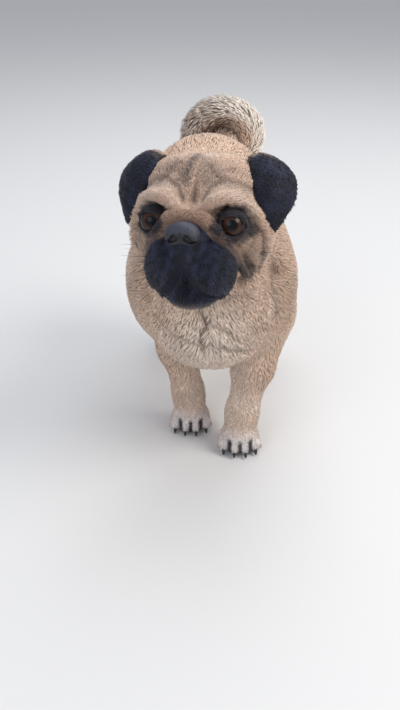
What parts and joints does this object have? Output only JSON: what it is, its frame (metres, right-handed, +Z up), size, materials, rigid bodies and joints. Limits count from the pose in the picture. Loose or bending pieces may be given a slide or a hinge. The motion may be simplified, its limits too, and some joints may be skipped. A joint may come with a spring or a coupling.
{
  "type": "pug",
  "caption": "Life-size still model of a fawn pug standing, head turned a little, black mask and ears, tail curled over its back.",
  "frame": {"origin": "middle of the dog's footprint, on the floor under its soles", "axes": "+Z up, the dog faces -Y, its left side is +X"},
  "size_m": [0.1872, 0.402, 0.3568],
  "materials": {
    "coat_fawn": "short matte fur",
    "coat_pale": "short matte fur",
    "coat_black": "velvety short fur",
    "nose_leather": "moist",
    "eye": "wet gloss"
  },
  "bodies": {
    "root": {"head": "coat_fawn", "nose": "nose_leather", "eye_left": "eye", "eye_right": "eye", "ear_left": "coat_black", "ear_right": "coat_black", "neck": "coat_fawn", "chest": "coat_fawn", "loin": "coat_fawn", "rump": "coat_fawn", "tail_root": "coat_pale", "tail_curl": "coat_pale", "tail_tip": "coat_pale", "leg_front_left": "coat_fawn", "leg_front_right": "coat_fawn", "leg_hind_left": "coat_fawn", "leg_hind_right": "coat_fawn", "paw_front_left": "coat_pale", "paw_front_right": "coat_pale", "paw_hind_left": "coat_pale", "paw_hind_right": "coat_pale"}
  },
  "joints": []
}
